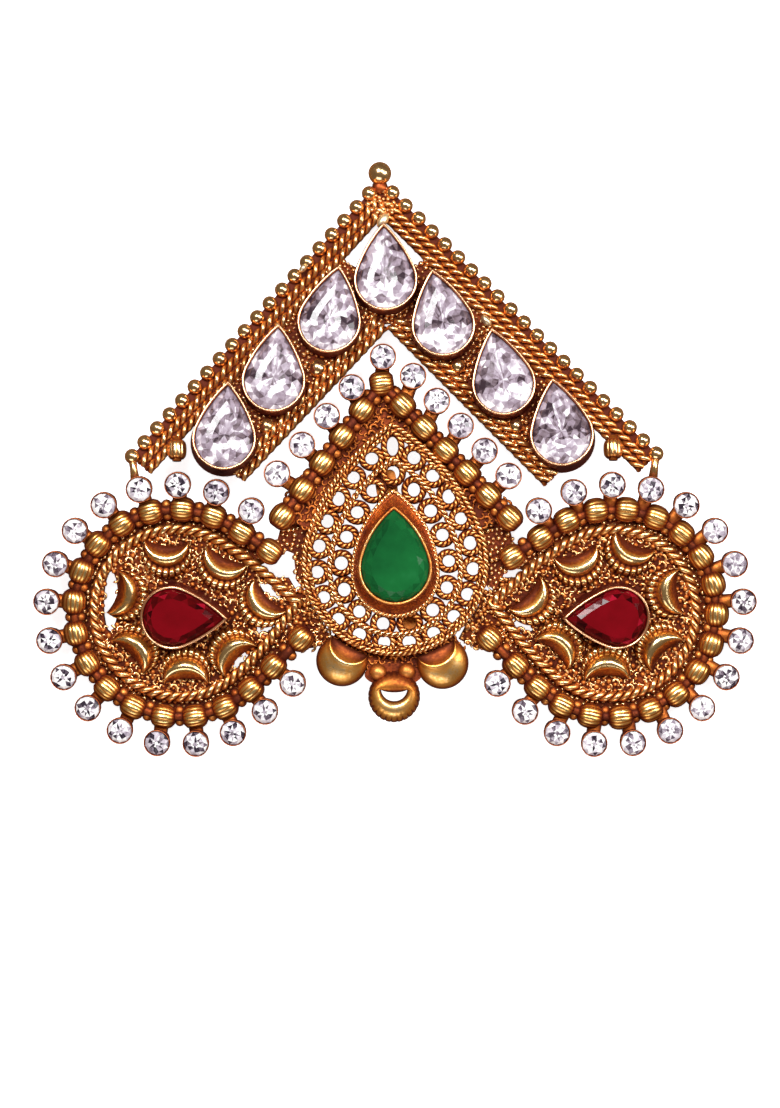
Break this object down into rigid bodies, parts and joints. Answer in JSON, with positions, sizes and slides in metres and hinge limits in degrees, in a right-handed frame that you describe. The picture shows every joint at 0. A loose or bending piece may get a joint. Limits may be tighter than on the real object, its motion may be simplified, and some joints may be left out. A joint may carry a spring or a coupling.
{
  "type": "turban brooch",
  "caption": "Arrow-shaped gold-coloured turban brooch: a stone-set chevron crest over a pierced pear panel between two pear-shaped lobes ringed with beads, with a pin behind.",
  "frame": {"origin": "on the surface that the brooch lies on, under the middle of its outline", "axes": "+X to the viewer's right across the two lobes, +Y towards the crest's tip, +Z out of the front"},
  "size_m": [0.081, 0.0668, 0.0105],
  "materials": {
    "antique_gold": "antique gold plate on cast brass, polished on high spots and dark red-brown in recesses",
    "clear_glass": "clear faceted stone with a foiled back",
    "green_glass": "cloudy green faceted stone",
    "red_glass": "deep red faceted stone"
  },
  "bodies": {
    "root": {"crest_frame": "antique_gold", "centre_bead_row": "antique_gold", "centre_panel": "antique_gold", "drop_cluster": "antique_gold", "left_lobe": "antique_gold", "right_lobe": "antique_gold", "left_bead_ring": "antique_gold", "right_bead_ring": "antique_gold", "brooch_pin": "antique_gold", "clear_stone_1": "clear_glass", "clear_stone_2": "clear_glass", "clear_stone_3": "clear_glass", "clear_stone_4": "clear_glass", "clear_stone_5": "clear_glass", "clear_stone_6": "clear_glass", "clear_stone_7": "clear_glass", "green_stone": "green_glass", "red_stone_left": "red_glass", "red_stone_right": "red_glass"}
  },
  "joints": []
}
